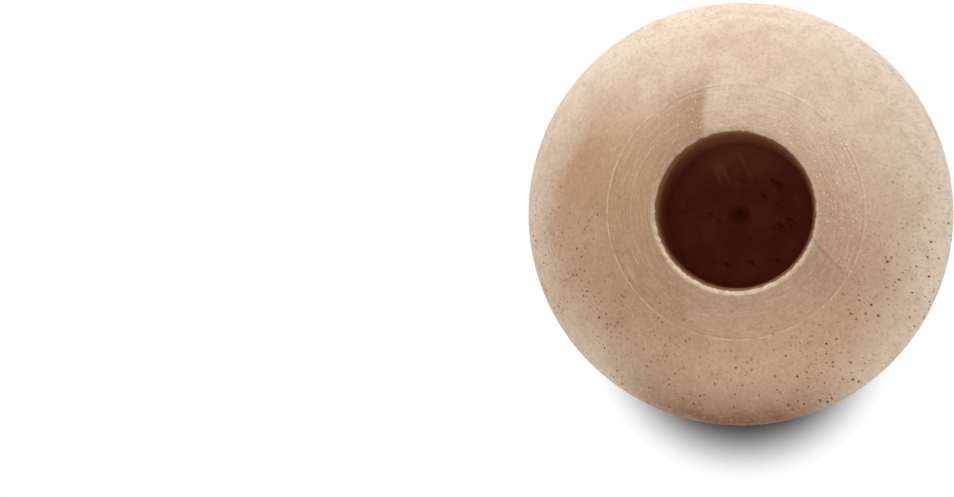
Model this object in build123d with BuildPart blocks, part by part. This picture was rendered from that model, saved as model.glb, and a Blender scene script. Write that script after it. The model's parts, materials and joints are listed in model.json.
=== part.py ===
"""A turned wooden bead: one hardwood ball with a blind round bore, standing bore up.

The origin is the middle of the small flat at the ball's closed end, on which the bead
stands, and +Z runs up the axis of the bore.
"""

import os
from math import sqrt

from build123d import *

os.makedirs("parts", exist_ok=True)

# Driving sizes, in millimetres
ball_diameter = 38.0  # the turned ball
flat_diameter = 4.8  # sanded spot at the closed end, where the ball was parted from its stick
bore_diameter = 13.0  # drilled to clear a half-inch dowel
bore_depth = 24.0  # from the mouth's edge, before it was sanded, to the flat floor
mouth_round = 0.5  # sanded edge where the bore opens through the ball
point_diameter = 2.0  # mark of the drill's centre point in the floor
point_depth = 1.2
cut_overrun = 5.0  # how far the drill's profile starts above the ball

# Sizes that follow from them
ball_radius = ball_diameter / 2
flat_radius = flat_diameter / 2
bore_radius = bore_diameter / 2
point_radius = point_diameter / 2
centre_height = sqrt(ball_radius**2 - flat_radius**2)
top_height = centre_height + ball_radius
mouth_height = centre_height + sqrt(ball_radius**2 - bore_radius**2)
floor_height = mouth_height - bore_depth
point_height = floor_height - point_depth
drill_height = top_height + cut_overrun

# The bead, turned round, then drilled down its axis, then sanded at the mouth
with BuildPart() as bead:
    with BuildSketch(Plane.XZ) as turned_section:
        with BuildLine():
            ball_outline = ThreePointArc(
                (flat_radius, 0), (ball_radius, centre_height), (0, top_height)
            )
            Polyline(ball_outline @ 1, (0, 0), ball_outline @ 0)
        make_face()
    revolve(axis=Axis.Z)

    with BuildSketch(Plane.XZ) as drill_section:
        with BuildLine():
            Polyline(
                (0, point_height),
                (point_radius, floor_height),
                (bore_radius, floor_height),
                (bore_radius, drill_height),
                (0, drill_height),
                close=True,
            )
        make_face()
    revolve(axis=Axis.Z, mode=Mode.SUBTRACT)

    mouth_edge = bead.edges().filter_by(GeomType.CIRCLE).sort_by(Axis.Z)[-1]
    fillet(mouth_edge, radius=mouth_round)

bead.part.label = "bead"
export_step(bead.part, "parts/bead.step")
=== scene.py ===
"""Looks of a turned wooden ball bead with a blind bore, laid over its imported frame.

The bead stands on the small flat at its closed end, bore up, and the camera looks down into the bore.
Lengths are metres. The wood's pattern is drawn in millimetres, on the piece's own Object coordinates.
"""

import json
import logging
import math
from dataclasses import dataclass
from enum import Enum

import bmesh
import bpy
from mathutils import Matrix, Quaternion, Vector, noise


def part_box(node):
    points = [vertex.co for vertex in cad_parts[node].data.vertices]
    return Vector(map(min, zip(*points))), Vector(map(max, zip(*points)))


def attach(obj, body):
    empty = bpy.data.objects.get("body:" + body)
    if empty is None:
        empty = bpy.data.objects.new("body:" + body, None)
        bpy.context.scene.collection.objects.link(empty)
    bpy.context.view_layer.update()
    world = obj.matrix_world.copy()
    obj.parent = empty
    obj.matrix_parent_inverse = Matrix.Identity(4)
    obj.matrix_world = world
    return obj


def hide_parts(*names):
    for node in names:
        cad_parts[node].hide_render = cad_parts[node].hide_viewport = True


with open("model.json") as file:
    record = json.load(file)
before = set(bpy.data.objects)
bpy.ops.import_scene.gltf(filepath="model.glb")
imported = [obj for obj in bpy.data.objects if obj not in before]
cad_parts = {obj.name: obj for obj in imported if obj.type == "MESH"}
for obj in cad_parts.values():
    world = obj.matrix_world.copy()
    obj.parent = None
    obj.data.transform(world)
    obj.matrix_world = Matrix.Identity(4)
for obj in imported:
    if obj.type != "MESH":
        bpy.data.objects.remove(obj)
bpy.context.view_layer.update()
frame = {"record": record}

MM = 0.001
BODY = "root"
NODE = "bead"

Colour = tuple[float, float, float]
Triple = tuple[float, float, float]
Socket = bpy.types.NodeSocket
Feed = float | tuple[float, ...] | Vector | Socket
Feeds = dict[str | int, Feed]

WHITE: Colour = (1.0, 1.0, 1.0)
FRONT: Triple = (0.0, -1.0, 0.0)
NOISE_MIDDLE = 0.5

log = logging.getLogger("bead")


def paint(red: int, green: int, blue: int) -> Colour:
    """Turns a colour as seen on a screen into the linear colour that a shader takes.

    Args:
        red: Red, from 0 to 255.
        green: Green, from 0 to 255.
        blue: Blue, from 0 to 255.

    Returns:
        The three linear shares, from 0 to 1.
    """
    brightest, knee, slope, lift, bend = 255, 0.04045, 12.92, 0.055, 2.4

    def linear(level: int) -> float:
        """Gives the linear share of one level."""
        share = level / brightest
        return share / slope if share <= knee else ((share + lift) / (1 + lift)) ** bend

    return linear(red), linear(green), linear(blue)


class NodeBench:
    """Adds nodes to one tree and joins them, so that a finish reads as a list of steps."""

    def __init__(self, tree: bpy.types.NodeTree) -> None:
        """Keeps the tree that is worked on."""
        self.tree = tree

    def feed(self, socket: Socket, value: Feed) -> None:
        """Joins another node's output to a socket, or sets the socket's own value.

        Args:
            socket: The input that takes the value.
            value: An output socket, a number, or a tuple of numbers.
        """
        if isinstance(value, bpy.types.NodeSocket):
            self.tree.links.new(value, socket)
        elif socket.type == "RGBA" and len(value) == 3:
            socket.default_value = (*value, 1.0)
        else:
            socket.default_value = value

    def add(self, kind: str, feeds: Feeds | None = None, **settings: object) -> bpy.types.Node:
        """Adds one node.

        Args:
            kind: The node's type in Blender.
            feeds: What goes into its inputs, by the input's name or number.
            settings: Its own settings, by their names.

        Returns:
            The new node.
        """
        node = self.tree.nodes.new(kind)
        for name, setting in settings.items():
            setattr(node, name, setting)
        for name, value in (feeds or {}).items():
            self.feed(node.inputs[name], value)
        return node

    def math(self, operation: str, *values: Feed, clamp: bool = False) -> Socket:
        """Adds a sum on plain numbers.

        Args:
            operation: What is done, such as ADD.
            values: The numbers that go in, in order.
            clamp: True keeps the result between 0 and 1.

        Returns:
            The result.
        """
        node = self.add("ShaderNodeMath", operation=operation, use_clamp=clamp)
        for socket, value in zip(node.inputs, values):
            self.feed(socket, value)
        return node.outputs[0]

    def times(self, *values: Feed) -> Socket:
        """Multiplies two or more numbers."""
        product = values[0]
        for value in values[1:]:
            product = self.math("MULTIPLY", product, value)
        return product

    def larger(self, first: Feed, second: Feed) -> Socket:
        """Gives the larger of two numbers."""
        return self.math("MAXIMUM", first, second)

    def vector(self, operation: str, *values: Feed) -> Socket:
        """Adds a sum on vectors that gives a vector.

        Args:
            operation: What is done, such as MULTIPLY.
            values: The vectors that go in, in order.

        Returns:
            The resulting vector.
        """
        node = self.add("ShaderNodeVectorMath", operation=operation)
        for socket, value in zip(node.inputs, values):
            self.feed(socket, value)
        return node.outputs["Vector"]

    def length(self, value: Feed) -> Socket:
        """Gives a vector's length."""
        node = self.add("ShaderNodeVectorMath", operation="LENGTH")
        self.feed(node.inputs[0], value)
        return node.outputs["Value"]

    def level(self, value: Feed) -> Socket:
        """Gives a vector without its height."""
        return self.vector("MULTIPLY", value, (1, 1, 0))

    def along(self, value: Feed, direction: Triple) -> Socket:
        """Gives how far a vector reaches in a direction."""
        node = self.add("ShaderNodeVectorMath", operation="DOT_PRODUCT")
        self.feed(node.inputs[0], value)
        self.feed(node.inputs[1], direction)
        return node.outputs["Value"]

    def split(self, value: Socket) -> tuple[Socket, Socket, Socket]:
        """Gives a vector's three parts."""
        parts = self.add("ShaderNodeSeparateXYZ", {"Vector": value}).outputs
        return parts[0], parts[1], parts[2]

    def join(self, x: Feed, y: Feed, z: Feed) -> Socket:
        """Makes a vector of three numbers."""
        return self.add("ShaderNodeCombineXYZ", {"X": x, "Y": y, "Z": z}).outputs[0]

    def fade(self, value: Feed, start: Feed, end: Feed, low: Feed = 0.0, high: Feed = 1.0) -> Socket:
        """Runs smoothly from one number to another while a value goes from start to end.

        Args:
            value: What is read.
            start: The value at which low is given.
            end: The value at which high is given.
            low: The number before the start.
            high: The number past the end.

        Returns:
            A number between low and high.
        """
        feeds = {"Value": value, "From Min": start, "From Max": end, "To Min": low, "To Max": high}
        node = self.add("ShaderNodeMapRange", feeds, interpolation_type="SMOOTHSTEP")
        return node.outputs["Result"]

    def mix(self, share: Feed, first: Feed, second: Feed) -> Socket:
        """Lays one colour over another.

        Args:
            share: How much of the second shows, from 0 to 1.
            first: The colour underneath.
            second: The colour laid over it.

        Returns:
            The mixed colour.
        """
        node = self.add("ShaderNodeMix", data_type="RGBA", clamp_factor=True)
        for name, value in (("Factor_Float", share), ("A_Color", first), ("B_Color", second)):
            socket = next(one for one in node.inputs if one.identifier == name)
            self.feed(socket, value)
        return next(one for one in node.outputs if one.identifier == "Result_Color")

    def bump(self, height: Socket, depth: float, strength: float) -> Socket:
        """Gives the surface's direction with relief on it, of a depth and a strength from 0 to 1."""
        feeds = {"Height": height, "Strength": strength, "Distance": depth}
        return self.add("ShaderNodeBump", feeds).outputs["Normal"]

    def turn(self, place: Socket, rotation: Triple) -> Socket:
        """Turns a place about the origin."""
        return self.add("ShaderNodeMapping", {"Vector": place, "Rotation": rotation}).outputs[0]

    def seen_ray(self) -> Socket:
        """Tells the rays that show the background, straight or in a reflection, from the ones that light."""
        path = self.add("ShaderNodeLightPath").outputs
        mirrored = self.larger(path["Is Glossy Ray"], path["Is Transmission Ray"])
        return self.larger(path["Is Camera Ray"], mirrored)

    def cells(self, place: Socket) -> bpy.types.Node:
        """Adds scattered points, one to each unit cell of place, with the distance to the nearest."""
        feeds = {"Vector": place, "Scale": 1.0, "Randomness": 1.0}
        return self.add("ShaderNodeTexVoronoi", feeds, voronoi_dimensions="3D", feature="F1")


@dataclass(frozen=True)
class Run:
    """A smooth run of one number from low to high, while another goes from start to end."""

    start: float
    end: float
    low: float = 0.0
    high: float = 1.0

    def of(self, bench: NodeBench, value: Feed) -> Socket:
        """Adds the node that reads a value along this run."""
        return bench.fade(value, self.start, self.end, self.low, self.high)


@dataclass(frozen=True)
class Cloud:
    """Soft noise that wanders about one half, with so many clouds to the millimetre each way."""

    per_mm: Triple
    detail: float = 2.0
    roughness: float = 0.5

    def node(self, bench: NodeBench, place: Socket) -> bpy.types.Node:
        """Adds the noise at a place in millimetres."""
        scaled = bench.vector("MULTIPLY", place, self.per_mm)
        feeds = {"Vector": scaled, "Scale": 1.0, "Detail": self.detail, "Roughness": self.roughness}
        return bench.add("ShaderNodeTexNoise", feeds, noise_dimensions="3D")

    def of(self, bench: NodeBench, place: Socket) -> Socket:
        """Adds the noise at a place and gives its height."""
        return self.node(bench, place).outputs["Fac"]


class TurningLine:
    """A chain of edges in the XZ plane, drawn as a turner's tool runs along the work."""

    def __init__(self, mesh: bmesh.types.BMesh, radius: float, height: float) -> None:
        """Starts the line at one point.

        Args:
            mesh: The mesh that the line is drawn in.
            radius: The point's distance from the axis.
            height: The point's height.
        """
        self.mesh = mesh
        self.tip = mesh.verts.new((radius, 0, height))

    def straight(self, radius: float, height: float, steps: int) -> None:
        """Goes straight to a point.

        Args:
            radius: The point's distance from the axis.
            height: The point's height.
            steps: How many edges the run has.
        """
        stride = (Vector((radius, 0, height)) - self.tip.co) / steps
        for _ in range(steps):
            self.tip = bmesh.ops.extrude_vert_indiv(self.mesh, verts=[self.tip])["verts"][0]
            bmesh.ops.translate(self.mesh, verts=[self.tip], vec=stride)

    def swing(self, radius: float, height: float, angle: float, steps: int) -> None:
        """Goes round a centre.

        Args:
            radius: The centre's distance from the axis.
            height: The centre's height.
            angle: How far it goes, in radians, from up towards out.
            steps: How many edges the arc has.
        """
        made = bmesh.ops.spin(
            self.mesh, geom=[self.tip], cent=(radius, 0, height), axis=(0, 1, 0), angle=angle, steps=steps
        )
        self.tip = next(part for part in made["geom_last"] if isinstance(part, bmesh.types.BMVert))


class Finish(Enum):
    """The two finishes of the bead, by their place in its list of materials."""

    SANDED = 0
    DRILLED = 1


@dataclass(frozen=True)
class ScoredRing:
    """One fine groove that the tool left round the mouth."""

    radius: float
    width: float
    depth: float

    def cut(self, radius: float) -> float:
        """Gives the groove's depth at a distance from the bore's axis."""
        off = abs(radius - self.radius) / (self.width / 2)
        return self.depth * max(0.0, 1 - off)


@dataclass(frozen=True)
class TurnedBead:
    """The whole bead: a turned ball with a small flat at its closed end and a blind bore down its grain."""

    ball_radius: float
    bore_radius: float
    flat_radius: float = 2.4 * MM
    bore_depth: float = 24.0 * MM
    mouth_round: float = 0.5 * MM
    point_radius: float = 1.0 * MM
    point_depth: float = 1.2 * MM
    outer_ring: ScoredRing = ScoredRing(radius=10.72 * MM, width=0.20 * MM, depth=0.030 * MM)
    inner_ring: ScoredRing = ScoredRing(radius=8.68 * MM, width=0.16 * MM, depth=0.016 * MM)
    feed_pitch: float = 0.27 * MM
    feed_depth: float = 0.009 * MM
    tooled_margin: float = 0.5 * MM
    patch_length: float = 2.6 * MM
    mouth_fray: float = 0.09 * MM
    fray_length: float = 0.45 * MM
    merge_distance: float = 0.0005 * MM
    sharp_angle: float = math.radians(50)
    around: int = 288
    flat_steps: int = 6
    ball_steps: int = 112
    tooled_steps: int = 110
    lip_steps: int = 18
    wall_steps: int = 36
    floor_steps: int = 12
    point_steps: int = 4

    @property
    def centre_height(self) -> float:
        """Height of the ball's centre above the floor."""
        return math.sqrt(self.ball_radius**2 - self.flat_radius**2)

    @property
    def mouth_height(self) -> float:
        """Height of the bore's sharp edge, before it was sanded round."""
        return self.centre_height + math.sqrt(self.ball_radius**2 - self.bore_radius**2)

    @property
    def floor_height(self) -> float:
        """Height of the bore's floor."""
        return self.mouth_height - self.bore_depth

    @property
    def lip_radius(self) -> float:
        """Distance of the mouth's rounding from the bore's axis, at its centre."""
        return self.bore_radius + self.mouth_round

    @property
    def lip_rise(self) -> float:
        """Height of the mouth's rounding over the ball's centre, at its centre."""
        return math.sqrt((self.ball_radius - self.mouth_round) ** 2 - self.lip_radius**2)

    @property
    def lip_height(self) -> float:
        """Height of the mouth's rounding above the floor, at its centre."""
        return self.centre_height + self.lip_rise

    @property
    def lip_angle(self) -> float:
        """Angle from the bore's axis at which the ball runs into the mouth's rounding."""
        return math.atan2(self.lip_radius, self.lip_rise)

    @property
    def ring_angle(self) -> float:
        """Angle from the bore's axis of the outer scored ring."""
        return math.asin(self.outer_ring.radius / self.ball_radius)

    @property
    def tooled_angle(self) -> float:
        """Angle from the bore's axis at which the tool marks end."""
        return self.ring_angle + self.tooled_margin / self.ball_radius

    def build(self) -> bpy.types.Object:
        """Turns, drills and sands the bead.

        Returns:
            The bead's object, at the origin.
        """
        work = bmesh.new()
        self._draw_section(work)
        bmesh.ops.spin(
            work,
            geom=[*work.verts, *work.edges],
            cent=(0, 0, 0),
            axis=(0, 0, 1),
            angle=math.tau,
            steps=self.around,
            use_merge=True,
        )
        bmesh.ops.remove_doubles(work, verts=work.verts, dist=self.merge_distance)
        self._score(work)
        self._fray_mouth(work)
        bmesh.ops.recalc_face_normals(work, faces=work.faces)
        for face in work.faces:
            face.smooth = True
            finish = Finish.DRILLED if self._in_bore(face) else Finish.SANDED
            face.material_index = finish.value

        mesh = bpy.data.meshes.new("turned_bead")
        work.to_mesh(mesh)
        work.free()
        mesh.set_sharp_from_angle(angle=self.sharp_angle)
        bead = bpy.data.objects.new("turned_bead", mesh)
        bpy.context.scene.collection.objects.link(bead)
        return bead

    def dress(self, bead: bpy.types.Object, sanded: "SandedWood", drilled: "DrilledWood") -> None:
        """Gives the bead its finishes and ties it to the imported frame.

        Args:
            bead: The bead's object.
            sanded: The finish of the ball and the mouth.
            drilled: The finish of the bore.
        """
        for finish in (sanded, drilled):
            bead.data.materials.append(finish.material(self))
        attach(bead, BODY)
        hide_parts(NODE)

    def _draw_section(self, work: bmesh.types.BMesh) -> None:
        """Draws half of the bead's section, from the middle of the flat to the drill point's tip.

        Args:
            work: The mesh that is drawn in.
        """
        flat_angle = math.atan2(self.flat_radius, -self.centre_height)
        line = TurningLine(work, 0, 0)
        line.straight(self.flat_radius, 0, self.flat_steps)
        line.swing(0, self.centre_height, self.tooled_angle - flat_angle, self.ball_steps)
        line.swing(0, self.centre_height, self.lip_angle - self.tooled_angle, self.tooled_steps)
        line.swing(self.lip_radius, self.lip_height, -self.lip_angle - math.pi / 2, self.lip_steps)
        line.straight(self.bore_radius, self.floor_height, self.wall_steps)
        line.straight(self.point_radius, self.floor_height, self.floor_steps)
        line.straight(0, self.floor_height - self.point_depth, self.point_steps)

    def _score(self, work: bmesh.types.BMesh) -> None:
        """Sinks the tool's rings and feed marks between the mouth and the outer ring, deeper in patches.

        Args:
            work: The mesh of the whole bead.
        """
        centre = Vector((0, 0, self.centre_height))
        on_ball = self.ball_radius - self.merge_distance
        for vert in work.verts:
            out = vert.co - centre
            radius = out.xy.length
            angle = math.atan2(radius, out.z)
            if out.length < on_ball or not self.lip_angle <= angle <= self.tooled_angle:
                continue
            patch = (1 + noise.noise(vert.co / self.patch_length)) / 2
            depth = self.outer_ring.cut(radius) + self.inner_ring.cut(radius)
            if angle < self.ring_angle:
                feed = (angle - self.lip_angle) * self.ball_radius / self.feed_pitch
                depth += self.feed_depth * math.sin(math.pi * feed) ** 2
            vert.co -= out.normalized() * depth * patch

    def _fray_mouth(self, work: bmesh.types.BMesh) -> None:
        """Makes the sanded mouth a little uneven, as torn end grain leaves it.

        Args:
            work: The mesh of the whole bead.
        """
        reach = self.mouth_round
        for vert in work.verts:
            radius = vert.co.xy.length
            off = math.hypot(radius - self.lip_radius, vert.co.z - self.lip_height)
            if off > reach + self.merge_distance or radius > self.lip_radius:
                continue
            share = math.sin(math.pi * (self.lip_radius - radius) / reach)
            sunk = min(0.0, noise.noise(vert.co / self.fray_length)) * self.mouth_fray * share
            outwards = Vector((vert.co.x, vert.co.y, 0)).normalized()
            vert.co += (outwards + Vector((0, 0, 1))) * sunk

    def _in_bore(self, face: bmesh.types.BMFace) -> bool:
        """Tells whether a face is part of the drilled bore."""
        middle = face.calc_center_median()
        deepest = self.floor_height - self.point_depth
        return middle.xy.length < self.lip_radius and deepest / 2 < middle.z < self.lip_height


@dataclass(frozen=True)
class GrainLie:
    """How the grain lies in the bead: its lean off the bore's axis, as turns, and how far it wanders."""

    lean: Triple = (0.0, 0.0, 0.0)
    drift: Cloud = Cloud((0.08, 0.08, 0.05), detail=1.0)
    wander: Triple = (2.4, 2.4, 0.0)

    def place(self, bench: NodeBench, spot: Socket, from_mouth: Socket) -> Socket:
        """Adds the nodes that follow the grain.

        Args:
            bench: The tree that is worked on.
            spot: A point of the bead.
            from_mouth: The same point, measured from the middle of the mouth.

        Returns:
            The point with its third part along the grain.
        """
        drift = self.drift.node(bench, spot).outputs["Color"]
        aside = bench.vector("SUBTRACT", drift, (NOISE_MIDDLE,) * 3)
        leaning = bench.turn(from_mouth, self.lean)
        return bench.vector("ADD", leaning, bench.vector("MULTIPLY", aside, self.wander))


@dataclass(frozen=True)
class SurfacePlace:
    """Where a point of the bead lies, as the wood's pattern reads it, in millimetres and radians."""

    spot: Socket
    level: Socket
    radius: Socket
    height: Socket
    polar: Socket
    arc: Socket
    upper: Socket
    heading: Socket
    grain: Socket

    @classmethod
    def on(cls, bench: NodeBench, bead: TurnedBead, lie: GrainLie = GrainLie()) -> "SurfacePlace":
        """Adds the nodes that find the place.

        Args:
            bench: The tree that is worked on.
            bead: The bead's sizes.
            lie: How the grain lies in the bead.

        Returns:
            The sockets of the place. Upper is 1 on the half of the ball that holds the mouth.
        """
        metres = bench.add("ShaderNodeTexCoord").outputs["Object"]
        spot = bench.vector("MULTIPLY", metres, (1 / MM,) * 3)
        level = bench.level(spot)
        radius = bench.length(level)
        _, _, height = bench.split(spot)
        rise = bench.math("SUBTRACT", height, bead.centre_height / MM)
        polar = bench.math("ARCTAN2", radius, rise)
        from_mouth = bench.vector("SUBTRACT", spot, (0, 0, bead.mouth_height / MM))
        return cls(
            spot=spot,
            level=level,
            radius=radius,
            height=height,
            polar=polar,
            arc=bench.times(polar, bead.ball_radius / MM),
            upper=bench.math("GREATER_THAN", height, bead.centre_height / MM),
            heading=bench.vector("NORMALIZE", level),
            grain=lie.place(bench, spot, from_mouth),
        )

    def round_about(self, bench: NodeBench, per_arc: float, per_turn: float) -> Socket:
        """Gives a place that follows the lathe: across the tool marks, and round the axis.

        Args:
            bench: The tree that is worked on.
            per_arc: Units to each millimetre from the pole.
            per_turn: Units to each radian round the axis.

        Returns:
            The place.
        """
        x, y, _ = bench.split(self.heading)
        return bench.join(
            bench.times(self.arc, per_arc), bench.times(x, per_turn), bench.times(y, per_turn)
        )


@dataclass(frozen=True)
class Vessels:
    """One size of the wood's open vessels: dots on end grain and dark dashes along the sides."""

    spacing: float
    span: float
    radius: float
    share: float
    offset: float
    smallest: float = 0.6
    largest: float = 1.3
    core: float = 0.5
    darkest: float = 0.3

    def mask(self, bench: NodeBench, place: SurfacePlace) -> Socket:
        """Adds the nodes that mark the vessels.

        Args:
            bench: The tree that is worked on.
            place: Where the point lies.

        Returns:
            1 inside a dark vessel, 0 outside, and less than 1 in the faint ones.
        """
        squeeze = (1 / self.spacing, 1 / self.spacing, 1 / self.span)
        moved = bench.vector("ADD", place.grain, (self.offset,) * 3)
        cells = bench.cells(bench.vector("MULTIPLY", moved, squeeze))
        chance, size, _ = bench.split(cells.outputs["Color"])
        wide = self.radius / self.spacing
        edge = bench.fade(size, 0.0, 1.0, self.smallest * wide, self.largest * wide)
        inside = bench.fade(cells.outputs["Distance"], edge, bench.times(edge, self.core))
        dark = bench.fade(chance, 1 - self.share, 1 - self.darkest * self.share)
        return bench.times(inside, dark)


@dataclass(frozen=True)
class YearEdge:
    """The dark edge of one year's growth, an arc about the pith, that shows at one side of the mouth."""

    radius: float
    side: Triple
    side_run: Run
    line: Run
    soft: Run
    rise: Run = Run(-0.1, 0.9)

    def mask(self, bench: NodeBench, place: SurfacePlace, off_pith: Socket) -> Socket:
        """Adds the nodes that mark the edge.

        Args:
            bench: The tree that is worked on.
            place: Where the point lies.
            off_pith: How far the point is from the pith, across the grain.

        Returns:
            How dark this point is, from 0 to 1.
        """
        past = bench.math("SUBTRACT", off_pith, self.radius)
        line = self.line.of(bench, bench.math("ABSOLUTE", past))
        soft = bench.times(self.soft.of(bench, past), self.rise.of(bench, past))
        side = self.side_run.of(bench, bench.along(place.heading, self.side))
        return bench.times(bench.larger(line, soft), side)


@dataclass(frozen=True)
class DrilledWood:
    """The rough wood of the bore, as the drill left it, torn below, with painted shade at the top of its
    wall, down its front wall and round the corner of its floor.
    """

    # Painted shade: the dark top of the bore's wall, also laid on the sanded mouth's inner edge
    mouth: Colour = paint(122, 80, 56)
    wall: Colour = paint(192, 129, 89)
    deep: Colour = paint(222, 152, 112)
    floor: Colour = paint(222, 140, 106)
    # Torn wood on the bore's floor, also laid as painted shade round the floor's edge
    torn: Colour = paint(205, 122, 92)
    # Dark scars on the bore's floor and at its drill point, and painted shade down its front wall
    scar_and_shade: Colour = paint(106, 49, 33)
    lifted: Colour = paint(238, 184, 132)
    mouth_shade_run: Run = Run(0.0, 3.0)
    # Painted shade down the front wall: its side and its strength
    front_wall_shade_side: Triple = (-0.2, -0.98, 0.0)
    front_wall_shade_run: Run = Run(0.1, 0.9, 0.0, 0.65)
    deep_run: Run = Run(8.0, 23.0)
    # Painted shade in the corner: how far from the axis the floor darkens
    corner_shade_run: Run = Run(5.2, 6.5)
    floor_run: Run = Run(0.10, 0.02)
    clouds: Cloud = Cloud((0.34, 0.26, 0.10), 4.0, 0.6)
    cloud_run: Run = Run(0.36, 0.66)
    scar_turn: Triple = (0.0, 0.0, math.radians(214))
    scar_cloud: Cloud = Cloud((0.42, 0.95, 0.3), 3.0, 0.65)
    scar_run: Run = Run(0.58, 0.72, 0.0, 0.55)
    point_share: float = 0.5
    fibre_turn: Triple = (0.0, 0.0, math.radians(-22))
    fibre_cloud: Cloud = Cloud((1.5, 0.30, 0.4), 2.0)
    fibre_run: Run = Run(0.46, 0.64, 0.0, 0.75)
    fibre_middle: Triple = (-0.9, 4.3, 0.0)
    fibre_reach: Run = Run(2.6, 0.6)
    roughness: float = 0.85
    gloss: float = 0.05
    relief: float = 0.12 * MM
    relief_share: float = 0.6

    def material(self, bead: TurnedBead) -> bpy.types.Material:
        """Makes the finish of one bead's bore.

        Args:
            bead: The bead's sizes.

        Returns:
            The material.
        """
        material = bpy.data.materials.new("drilled_wood")
        material.use_nodes = True
        bench = NodeBench(material.node_tree)
        place = SurfacePlace.on(bench, bead)

        clouds = self.clouds.of(bench, place.spot)
        scars = self.scar_run.of(bench, self.scar_cloud.of(bench, bench.turn(place.spot, self.scar_turn)))
        lifted = self._lifted_fibre(bench, place)
        depth = bench.math("SUBTRACT", bead.lip_height / MM, place.height)
        above_floor = bench.math("SUBTRACT", place.height, bead.floor_height / MM)
        point = bench.fade(place.radius, bead.point_radius / MM, 0.0, 0.0, self.point_share)
        floor = bench.mix(self.cloud_run.of(bench, clouds), self.torn, self.floor)
        floor = bench.mix(bench.larger(scars, point), floor, self.scar_and_shade)
        floor = bench.mix(lifted, floor, self.lifted)
        # Painted shade: the floor darkens towards its edge, in the corner with the wall
        floor = bench.mix(self.corner_shade_run.of(bench, place.radius), floor, self.torn)
        # Painted shade down the front wall
        front = self.front_wall_shade_run.of(bench, bench.along(place.heading, self.front_wall_shade_side))
        # Painted shade: dark at the top of the wall, fading over its first millimetres
        wall = bench.mix(self.mouth_shade_run.of(bench, depth), self.mouth, self.wall)
        wall = bench.mix(front, wall, self.scar_and_shade)
        wall = bench.mix(self.deep_run.of(bench, depth), wall, self.deep)
        colour = bench.mix(self.floor_run.of(bench, above_floor), wall, floor)

        height = bench.math("SUBTRACT", bench.math("ADD", clouds, lifted), scars)
        shader = material.node_tree.nodes["Principled BSDF"]
        bench.feed(shader.inputs["Base Color"], colour)
        bench.feed(shader.inputs["Normal"], bench.bump(height, self.relief, self.relief_share))
        shader.inputs["Roughness"].default_value = self.roughness
        shader.inputs["Specular IOR Level"].default_value = self.gloss
        return material

    def _lifted_fibre(self, bench: NodeBench, place: SurfacePlace) -> Socket:
        """Gives the one tuft of paler, lifted fibre on the bore's floor, from 0 to 1."""
        streaks = self.fibre_cloud.of(bench, bench.turn(place.spot, self.fibre_turn))
        off = bench.length(bench.vector("SUBTRACT", place.level, self.fibre_middle))
        return bench.times(self.fibre_run.of(bench, streaks), self.fibre_reach.of(bench, off))


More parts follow.
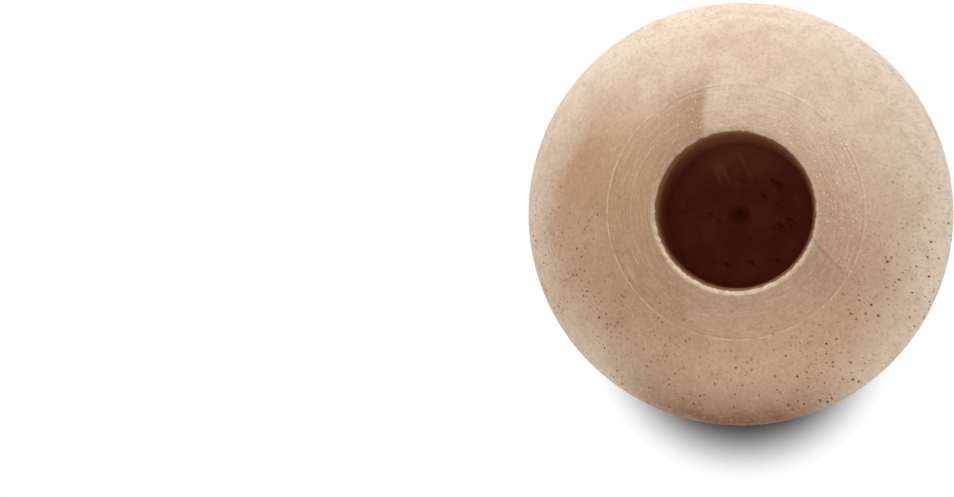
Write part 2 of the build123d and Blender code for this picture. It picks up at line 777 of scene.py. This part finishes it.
@dataclass(frozen=True)
class SandedWood:
    """Bare, pale hardwood as it leaves the lathe and the sandpaper."""

    # Painted sheen: a paler tone near the ball's equator, strongest towards +Y
    rim_sheen: Colour = paint(240, 222, 203)
    side_grain: Colour = paint(217, 195, 171)
    end_grain: Colour = paint(200, 167, 137)
    rosy: Colour = paint(187, 149, 118)
    # Painted shade: brown laid down the front of the bead, towards its equator
    front_shade: Colour = paint(114, 73, 48)
    late: Colour = paint(158, 124, 92)
    rust: Colour = paint(192, 138, 94)
    vessel: Colour = paint(106, 57, 29)
    # Pale fibre and tool lines, with painted glints on the flecks and a painted highlight along the scored
    # rings
    pale_fibre_and_highlight: Colour = paint(240, 221, 198)
    # Painted highlight on the mouth's rounding, strongest at the front
    lip_highlight: Colour = paint(242, 219, 193)
    # Darker wood for mottle, fibre and tool lines, and the painted shadow inside each scored ring
    shade: Colour = paint(166, 130, 100)
    # Painted shade on the mouth's inner edge, the same as the top of the bore's wall
    mouth_edge_shade: Colour = DrilledWood.mouth
    grain: GrainLie = GrainLie(lean=(math.radians(4), math.radians(7), 0.0))

    # Broad tones: end grain, a painted sheen at the rim, a rosy flank, painted shade down the front, rust,
    # and two years' edges
    end_middle: Triple = (0.5, -5.5, 0.0)
    end_run: Run = Run(17.0, 8.5)
    # Painted sheen near the equator: how far out it starts, and how it weakens away from +Y
    rim_sheen_run: Run = Run(14.0, 19.2, 0.0, 0.8)
    rim_sheen_side: Triple = (0.0, 1.0, 0.0)
    rim_sheen_round: Run = Run(-0.9, 0.2, 0.25, 1.0)
    rosy_middle: Triple = (-13.0, -0.5, 0.0)
    rosy_run: Run = Run(17.0, 2.0, 0.0, 0.95)
    rosy_cloud: Cloud = Cloud((0.12, 0.12, 0.06), 3.0, 0.55)
    rosy_swing: Run = Run(0.36, 0.64, -0.16, 0.18)
    # Painted shade down the front: where it lies across, forward and up the ball, and its streaks
    front_shade_middle: float = -1.9
    front_shade_width: Run = Run(13.0, 3.5)
    front_shade_reach: Run = Run(3.0, 15.0)
    front_shade_polar: Run = Run(math.radians(42), math.radians(76))
    front_shade_cloud: Cloud = Cloud((0.45, 0.45, 0.03), 3.0, 0.5)
    front_shade_swing: Run = Run(0.34, 0.62, 0.86, 1.0)
    rust_cloud: Cloud = Cloud((0.26, 0.26, 0.14), 3.0, 0.6)
    rust_run: Run = Run(0.56, 0.74, 0.0, 0.18)
    pith: Triple = (21.7, 8.7, 0.0)
    near_year: YearEdge = YearEdge(
        radius=19.07,
        side=(0.87, -0.49, 0.0),
        side_run=Run(0.80, 0.96),
        line=Run(0.24, 0.05, 0.0, 0.65),
        soft=Run(4.0, 0.0, 0.0, 0.4),
    )
    far_year: YearEdge = YearEdge(
        radius=24.0,
        side=(-0.42, 0.91, 0.0),
        side_run=Run(0.45, 0.90),
        line=Run(0.3, 0.1, 0.0, 0.1),
        soft=Run(7.0, 0.0),
    )
    late_reach: Run = Run(13.4, 9.8, 0.02, 0.75)

    # Fine grain
    mottle_cloud: Cloud = Cloud((0.7, 0.7, 0.4), 3.0, 0.55)
    mottle_run: Run = Run(0.42, 0.68, 0.0, 0.20)
    fibre_cloud: Cloud = Cloud((3.6, 3.6, 0.26), 3.0, 0.62)
    fibre_dark: Run = Run(0.46, 0.74, 0.0, 0.32)
    fibre_light: Run = Run(0.48, 0.26, 0.0, 0.14)
    wide_vessels: Vessels = Vessels(spacing=0.42, span=5.0, radius=0.120, share=0.62, offset=0.0)
    fine_vessels: Vessels = Vessels(spacing=0.32, span=3.6, radius=0.080, share=0.70, offset=7.3)
    fine_share: float = 0.75
    vessel_cloud: Cloud = Cloud((0.22, 0.22, 0.10), 1.0)
    vessel_cluster: Run = Run(0.36, 0.56, 0.45, 1.0)
    vessel_front: Run = Run(-7.0, 3.0, 0.06, 1.0)
    vessel_clear: Run = Run(8.5, 13.5, 0.3, 1.0)
    vessel_sides: Run = Run(math.radians(72), math.radians(95))
    vessel_depth: float = 0.92

    # Marks of the lathe
    tool_detail: Cloud = Cloud((1.0, 1.0, 1.0), 3.0, 0.65)
    tool_per_arc: float = 6.2
    tool_per_turn: float = 5.0
    tool_light: Run = Run(0.53, 0.74, 0.0, 0.28)
    tool_dark: Run = Run(0.48, 0.28, 0.0, 0.38)
    tool_fade: float = 0.02
    tool_smooth: float = 0.16
    tool_closed: Run = Run(math.radians(95), math.radians(150), 0.16, 0.75)
    speck_per_arc: float = 4.6
    speck_per_turn: float = 36.0
    speck_drift: Cloud = Cloud((0.5, 0.5, 0.5), 2.0)
    speck_wander: float = 3.0
    speck_size: Run = Run(0.44, 0.16)
    speck_chance: Run = Run(0.15, 1.0, 0.0, 0.75)
    speck_height: float = 2.5
    speck_side: Triple = (0.70, 0.71, 0.0)
    speck_run: Run = Run(-0.2, 0.8, 0.10, 1.0)
    speck_fade: float = 0.10
    hairline: Run = Run(0.10, 0.03, 0.0, 0.36)
    hairline_cloud: Cloud = Cloud((1.4, 1.4, 1.4))
    hairline_break: Run = Run(0.36, 0.62, 0.2, 1.0)
    inner_hairline: float = 0.4

    # The mouth's rounding: painted highlight, and painted shade on its inner edge
    lip_run: Run = Run(7.16, 6.96)
    lip_cloud: Cloud = Cloud((2.3, 2.3, 1.6), 4.0, 0.7)
    lip_ragged: Run = Run(0.34, 0.60, 0.3, 0.85)
    lip_highlight_side: Triple = (-0.20, -0.98, 0.0)
    lip_highlight_run: Run = Run(-0.2, 0.9, 0.35, 1.0)
    lip_shade_edge: Run = Run(6.78, 6.60)
    lip_swing: float = 0.3

    roughness: Run = Run(0.2, 0.8, 0.52, 0.68)
    gloss: float = 0.03
    relief: float = 0.06 * MM
    relief_share: float = 0.5

    def material(self, bead: TurnedBead) -> bpy.types.Material:
        """Makes the wood for one bead.

        Args:
            bead: The bead's sizes, which the marks of the lathe and the mouth follow.

        Returns:
            The material.
        """
        material = bpy.data.materials.new("sanded_wood")
        material.use_nodes = True
        bench = NodeBench(material.node_tree)
        place = SurfacePlace.on(bench, bead, self.grain)

        fibre = self.fibre_cloud.of(bench, place.grain)
        vessels = self._vessels(bench, place)
        light_lines, dark_lines = self._tool_lines(bench, place, bead)
        flecks_and_glints = self._flecks_and_glints(bench, place, bead)
        lip_highlight_share, mouth_edge_shade = self._lip(bench, place)
        layers = (
            # Painted shade down the front of the bead
            (self._painted_front_shade(bench, place), self.front_shade),
            (self.rust_run.of(bench, self.rust_cloud.of(bench, place.grain)), self.rust),
            (self._late_wood(bench, place), self.late),
            (self.mottle_run.of(bench, self.mottle_cloud.of(bench, place.grain)), self.shade),
            (self.fibre_dark.of(bench, fibre), self.shade),
            (self.fibre_light.of(bench, fibre), self.pale_fibre_and_highlight),
            (dark_lines, self.shade),
            (light_lines, self.pale_fibre_and_highlight),
            (bench.times(vessels, self.vessel_depth), self.vessel),
            # Pale flecks of lifted fibre, partly painted glints
            (flecks_and_glints, self.pale_fibre_and_highlight),
            # Painted shadow inside each scored ring, and painted highlight outside it
            (self._hairlines(bench, place, bead, -1), self.shade),
            (self._hairlines(bench, place, bead, 1), self.pale_fibre_and_highlight),
            # Painted highlight on the mouth's rounding
            (lip_highlight_share, self.lip_highlight),
            # Painted shade on the mouth's inner edge
            (mouth_edge_shade, self.mouth_edge_shade),
        )
        colour = self._broad_tone(bench, place)
        for share, tone in layers:
            colour = bench.mix(share, colour, tone)

        lifted = bench.times(flecks_and_glints, self.speck_height)
        height = bench.math("SUBTRACT", bench.math("ADD", lifted, light_lines), vessels)
        height = bench.math("SUBTRACT", height, bench.math("ADD", fibre, dark_lines))

        shader = material.node_tree.nodes["Principled BSDF"]
        bench.feed(shader.inputs["Base Color"], colour)
        bench.feed(shader.inputs["Roughness"], self.roughness.of(bench, fibre))
        bench.feed(shader.inputs["Normal"], bench.bump(height, self.relief, self.relief_share))
        shader.inputs["Specular IOR Level"].default_value = self.gloss
        return material

    def _broad_tone(self, bench: NodeBench, place: SurfacePlace) -> Socket:
        """Lays the wood's broad tones: pale sides, browner ends, a rosy flank, and a painted sheen near the
        equator, strongest towards +Y.

        Args:
            bench: The tree that is worked on.
            place: Where the point lies.

        Returns:
            The colour.
        """
        off_end = bench.length(bench.vector("SUBTRACT", place.level, self.end_middle))
        colour = bench.mix(self.end_run.of(bench, off_end), self.side_grain, self.end_grain)
        off_rosy = bench.length(bench.vector("SUBTRACT", place.level, self.rosy_middle))
        clouds = self.rosy_swing.of(bench, self.rosy_cloud.of(bench, place.grain))
        rosy = bench.math("ADD", self.rosy_run.of(bench, off_rosy), clouds, clamp=True)
        colour = bench.mix(rosy, colour, self.rosy)
        # Painted sheen: paler near the equator, strongest towards +Y
        round_about = self.rim_sheen_round.of(bench, bench.along(place.heading, self.rim_sheen_side))
        rim_sheen_share = bench.times(self.rim_sheen_run.of(bench, place.radius), round_about)
        return bench.mix(rim_sheen_share, colour, self.rim_sheen)

    def _painted_front_shade(self, bench: NodeBench, place: SurfacePlace) -> Socket:
        """Gives the painted shade down the front of the bead, towards its equator, streaked along the grain.

        Args:
            bench: The tree that is worked on.
            place: Where the point lies.

        Returns:
            How strong the painted shade at this point is, from 0 to 1.
        """
        x, _, _ = bench.split(place.grain)
        off = bench.math("ABSOLUTE", bench.math("SUBTRACT", x, self.front_shade_middle))
        band = self.front_shade_width.of(bench, off)
        front = self.front_shade_reach.of(bench, bench.along(place.spot, FRONT))
        streaks = self.front_shade_swing.of(bench, self.front_shade_cloud.of(bench, place.grain))
        return bench.times(band, front, streaks, self.front_shade_polar.of(bench, place.polar))

    def _late_wood(self, bench: NodeBench, place: SurfacePlace) -> Socket:
        """Gives the dark edges of two years' growth, which show near the mouth, from 0 to 1."""
        off_pith = bench.length(bench.vector("SUBTRACT", bench.level(place.grain), self.pith))
        near = self.near_year.mask(bench, place, off_pith)
        far = self.far_year.mask(bench, place, off_pith)
        return bench.times(bench.larger(near, far), self.late_reach.of(bench, place.radius))

    def _vessels(self, bench: NodeBench, place: SurfacePlace) -> Socket:
        """Gives the open vessels, in clusters, thin round the mouth and towards the back of the top.

        Args:
            bench: The tree that is worked on.
            place: Where the point lies.

        Returns:
            How dark the vessel at this point is, from 0 to 1.
        """
        fine = bench.times(self.fine_vessels.mask(bench, place), self.fine_share)
        both = bench.larger(self.wide_vessels.mask(bench, place), fine)
        cluster = self.vessel_cluster.of(bench, self.vessel_cloud.of(bench, place.grain))
        front = self.vessel_front.of(bench, bench.along(place.spot, FRONT))
        clear = self.vessel_clear.of(bench, place.radius)
        sides = self.vessel_sides.of(bench, place.polar)
        return bench.times(both, cluster, bench.larger(bench.times(front, clear), sides))

    def _tool_lines(
        self, bench: NodeBench, place: SurfacePlace, bead: TurnedBead
    ) -> tuple[Socket, Socket]:
        """Gives the fine lines that the tool left round the axis, clear near both ends.

        Args:
            bench: The tree that is worked on.
            place: Where the point lies.
            bead: The bead's sizes.

        Returns:
            How strong the pale line and the dark line at this point are, each from 0 to 1.
        """
        follow = place.round_about(bench, self.tool_per_arc, self.tool_per_turn)
        line = self.tool_detail.of(bench, follow)
        ring = bead.ring_angle
        tooled = bench.fade(place.polar, ring + self.tool_fade, ring - self.tool_fade, self.tool_smooth, 1.0)
        where = bench.larger(tooled, self.tool_closed.of(bench, place.polar))
        pale = bench.times(self.tool_light.of(bench, line), where)
        dark = bench.times(self.tool_dark.of(bench, line), where)
        return pale, dark

    def _flecks_and_glints(self, bench: NodeBench, place: SurfacePlace, bead: TurnedBead) -> Socket:
        """Gives the short pale flecks of lifted fibre, partly painted glints, between the mouth and the
        outer ring, strongest towards +X and +Y.

        Args:
            bench: The tree that is worked on.
            place: Where the point lies.
            bead: The bead's sizes.

        Returns:
            How strong the fleck and its painted glint at this point are, from 0 to 1.
        """
        follow = place.round_about(bench, self.speck_per_arc, self.speck_per_turn)
        drift = bench.times(self.speck_drift.of(bench, follow), self.speck_wander)
        cells = bench.cells(bench.vector("ADD", follow, bench.join(drift, 0.0, 0.0)))
        chance, _, _ = bench.split(cells.outputs["Color"])
        inside = self.speck_size.of(bench, cells.outputs["Distance"])
        speck = bench.times(inside, self.speck_chance.of(bench, chance))
        ring = bead.ring_angle
        tooled = bench.fade(place.polar, ring + self.speck_fade, ring - self.tool_fade)
        side = self.speck_run.of(bench, bench.along(place.heading, self.speck_side))
        return bench.times(speck, tooled, side)

    def _hairlines(self, bench: NodeBench, place: SurfacePlace, bead: TurnedBead, side: float) -> Socket:
        """Gives the broken hairlines along one side of the two scored rings: a painted highlight outside
        each groove, a painted shadow inside it.

        Args:
            bench: The tree that is worked on.
            place: Where the point lies.
            bead: The bead's sizes.
            side: 1 for the painted highlight outside each ring, -1 for the painted shadow inside it.

        Returns:
            How strong the hairline at this point is, from 0 to 1.
        """
        strong = self.hairline_break.of(bench, self.hairline_cloud.of(bench, place.spot))
        lines = []
        for ring, weight in ((bead.outer_ring, 1.0), (bead.inner_ring, self.inner_hairline)):
            middle = (ring.radius + side * ring.width / 2) / MM
            off = bench.math("ABSOLUTE", bench.math("SUBTRACT", place.radius, middle))
            lines.append(bench.times(self.hairline.of(bench, off), weight))
        return bench.times(bench.larger(*lines), strong, place.upper)

    def _lip(self, bench: NodeBench, place: SurfacePlace) -> tuple[Socket, Socket]:
        """Gives the mouth's rounding: a painted highlight, ragged like torn fibre and strongest at the
        front, and painted shade on its ragged inner edge.

        Args:
            bench: The tree that is worked on.
            place: Where the point lies.

        Returns:
            How much painted highlight and painted shade show at this point, each from 0 to 1.
        """
        torn = self.lip_cloud.of(bench, place.spot)
        on_lip = bench.times(self.lip_run.of(bench, place.radius), place.upper)
        highlight_side = self.lip_highlight_run.of(bench, bench.along(place.heading, self.lip_highlight_side))
        pale = bench.times(on_lip, highlight_side, self.lip_ragged.of(bench, torn))
        swing = bench.times(bench.math("SUBTRACT", torn, NOISE_MIDDLE), self.lip_swing)
        edge = self.lip_shade_edge.of(bench, bench.math("ADD", place.radius, swing))
        return pale, bench.times(edge, place.upper)


@dataclass(frozen=True)
class PaleFloor:
    """The plain white floor that the bead stands on. It shows white, with the bead's shadow painted dark
    grey round its foot and in front of it, under the floor's own shading.
    """

    half_width: float = 1.5
    bounce_tone: float = 0.25
    # Painted shadow: the floor's dark grey where it keeps the bead's shadow, darkened further by the real
    # shading
    shadow_tone: float = 0.12
    shadow_middle: float = -11.0 * MM
    shadow_half_width: float = 15.2 * MM
    shadow_half_length: float = 15.0 * MM
    shadow_core: float = 0.60
    contact_reach: Run = Run(14.0 * MM, 5.0 * MM)

    def build(self) -> bpy.types.Object:
        """Lays the floor.

        Returns:
            The floor's object.
        """
        work = bmesh.new()
        bmesh.ops.create_grid(work, x_segments=1, y_segments=1, size=self.half_width)
        mesh = bpy.data.meshes.new("pale_floor")
        work.to_mesh(mesh)
        work.free()
        mesh.materials.append(self._material())
        floor = bpy.data.objects.new("pale_floor", mesh)
        bpy.context.scene.collection.objects.link(floor)
        return floor

    def _material(self) -> bpy.types.Material:
        """Makes the floor's paint.

        Returns:
            The material.
        """
        material = bpy.data.materials.new("white_paint")
        material.use_nodes = True
        bench = NodeBench(material.node_tree)
        bench.tree.nodes.remove(bench.tree.nodes["Principled BSDF"])
        output = bench.tree.nodes["Material Output"]

        shaded = bench.add("ShaderNodeBsdfDiffuse", {"Color": (self.shadow_tone,) * 3}).outputs[0]
        white = bench.add("ShaderNodeEmission", {"Color": WHITE, "Strength": 1.0}).outputs[0]
        shown = bench.add("ShaderNodeMixShader", {0: self._in_shadow(bench), 1: white, 2: shaded}).outputs[0]

        plain = bench.add("ShaderNodeBsdfDiffuse", {"Color": (self.bounce_tone,) * 3}).outputs[0]
        both = bench.add("ShaderNodeMixShader", {0: bench.seen_ray(), 1: plain, 2: shown}).outputs[0]
        bench.feed(output.inputs["Surface"], both)
        return material

    def _in_shadow(self, bench: NodeBench) -> Socket:
        """Marks where the floor is painted dark grey for the bead's shadow, under its own shading: round the
        foot of the bead and in front of it.

        Args:
            bench: The tree that is worked on.

        Returns:
            1 in the shadow, 0 where the floor is plain white.
        """
        metres = bench.add("ShaderNodeTexCoord").outputs["Object"]
        from_middle = bench.vector("SUBTRACT", metres, (0, self.shadow_middle, 0))
        squeeze = (1 / self.shadow_half_width, 1 / self.shadow_half_length, 1.0)
        off = bench.length(bench.vector("MULTIPLY", from_middle, squeeze))
        in_front = bench.fade(off, 1.0, self.shadow_core)
        return bench.larger(in_front, self.contact_reach.of(bench, bench.length(metres)))


class LampSide(Enum):
    """Where a lamp stands round the bead, as an angle from +X towards +Y."""

    BACK = math.radians(98)
    RIGHT = math.radians(-29)
    LEFT = math.radians(225)
    FRONT = math.radians(-90)


@dataclass(frozen=True)
class SoftBox:
    """One large soft lamp, turned towards the bead."""

    side: LampSide
    elevation: float
    width: float
    height: float
    power: float
    distance: float = 0.45

    def build(self, aim: Vector) -> bpy.types.Object:
        """Sets the lamp up.

        Args:
            aim: The point that it faces.

        Returns:
            The lamp's object.
        """
        name = f"softbox_{self.side.name.lower()}"
        lamp = bpy.data.lights.new(name, "AREA")
        lamp.shape = "RECTANGLE"
        lamp.size = self.width
        lamp.size_y = self.height
        lamp.energy = self.power
        level = math.cos(self.elevation)
        round_about = self.side.value
        away = Vector(
            (level * math.cos(round_about), level * math.sin(round_about), math.sin(self.elevation))
        )
        holder = bpy.data.objects.new(name, lamp)
        holder.location = aim + away * self.distance
        holder.rotation_mode = "QUATERNION"
        holder.rotation_quaternion = (-away).to_track_quat("-Z", "Y")
        bpy.context.scene.collection.objects.link(holder)
        return holder


@dataclass(frozen=True)
class LightTent:
    """The white tent round the table: dim low down, brighter overhead, white where the camera sees it."""

    low: float = 0.05
    overhead: float = 0.36
    low_edge: float = 0.3
    overhead_edge: float = 0.85

    def build(self) -> bpy.types.World:
        """Hangs the tent.

        Returns:
            The world.
        """
        world = bpy.data.worlds.new("light_tent")
        world.use_nodes = True
        bench = NodeBench(world.node_tree)
        backdrop = bench.tree.nodes["Background"]
        direction = bench.add("ShaderNodeTexCoord").outputs["Generated"]
        _, _, up = bench.split(direction)
        glow = bench.fade(up, self.low_edge, self.overhead_edge, self.low, self.overhead)
        strength = bench.fade(bench.seen_ray(), 0.0, 1.0, glow, 1.0)
        bench.feed(backdrop.inputs["Color"], WHITE)
        bench.feed(backdrop.inputs["Strength"], strength)
        bpy.context.scene.world = world
        return world


@dataclass(frozen=True)
class PhotoCamera:
    """The camera: far off, nearly in line with the bore, with the bead to the right of the picture."""

    picture_width: float = 954.0
    picture_height: float = 497.0
    bead_column: float = 739.1
    bead_row: float = 214.3
    bead_half_width: float = 211.8
    sensor_width: float = 36.0
    distance_in_radii: float = 12.0
    step_right: float = math.radians(1.04)
    step_down: float = math.radians(0.90)
    oval: float = 1.008

    def build(self, bead: TurnedBead) -> bpy.types.Object:
        """Sets the camera up over the bead.

        Args:
            bead: The bead's sizes.

        Returns:
            The camera's object.
        """
        lens = bpy.data.cameras.new("camera")
        camera = bpy.data.objects.new("camera", lens)
        bpy.context.scene.collection.objects.link(camera)
        bpy.context.scene.camera = camera

        half_view = math.tan(math.asin(1 / self.distance_in_radii))
        focal = self.bead_half_width / (half_view * self.oval)
        lens.sensor_width = self.sensor_width
        lens.lens = focal * self.sensor_width / self.picture_width

        away = Vector((math.tan(self.step_right), -math.tan(self.step_down), 1)).normalized()
        right = Vector((0, 1, 0)).cross(away).normalized()
        upright = Matrix((right, away.cross(right), away)).transposed().to_quaternion()
        across = self.bead_column - self.picture_width / 2
        above = self.picture_height / 2 - self.bead_row
        straight_on = Vector((0, 0, -1))
        off_middle = Vector((across, above, -focal)).normalized()
        turn: Quaternion = straight_on.rotation_difference(off_middle)

        middle = Vector((0, 0, bead.centre_height))
        camera.location = middle + away * bead.ball_radius * self.distance_in_radii
        camera.rotation_mode = "QUATERNION"
        camera.rotation_quaternion = upright @ turn.inverted()
        return camera


def bead_from_frame() -> TurnedBead:
    """Takes the bead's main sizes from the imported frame.

    Returns:
        The bead's sizes.
    """
    _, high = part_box(NODE)
    bore = frame["record"]["mounts"][0]["dims"]["r_mm"] * MM
    return TurnedBead(ball_radius=high.x, bore_radius=bore)


def main() -> None:
    """Builds the bead, the floor, the light and the camera."""
    logging.basicConfig(level=logging.INFO, format="%(name)s: %(message)s")
    bpy.context.scene.view_settings.view_transform = "Standard"

    bead = bead_from_frame()
    piece = bead.build()
    bead.dress(piece, SandedWood(), DrilledWood())
    log.info("%s: %d faces, rides on %s", piece.name, len(piece.data.polygons), BODY)

    floor = PaleFloor().build()
    log.info("%s: stage", floor.name)

    LightTent().build()
    aim = Vector((0, 0, bead.centre_height))
    lamps = (
        SoftBox(LampSide.BACK, elevation=math.radians(20), width=0.60, height=0.24, power=2.56),
        SoftBox(LampSide.RIGHT, elevation=math.radians(10), width=0.40, height=0.14, power=1.3),
        SoftBox(LampSide.LEFT, elevation=math.radians(8), width=0.30, height=0.11, power=1.12),
        SoftBox(LampSide.FRONT, elevation=math.radians(60), width=0.24, height=0.16, power=0.24),
    )
    for lamp in lamps:
        log.info("%s: lamp", lamp.build(aim).name)

    camera = PhotoCamera().build(bead)
    log.info("%s: looks down into the bore", camera.name)


if __name__ == "__main__":
    main()
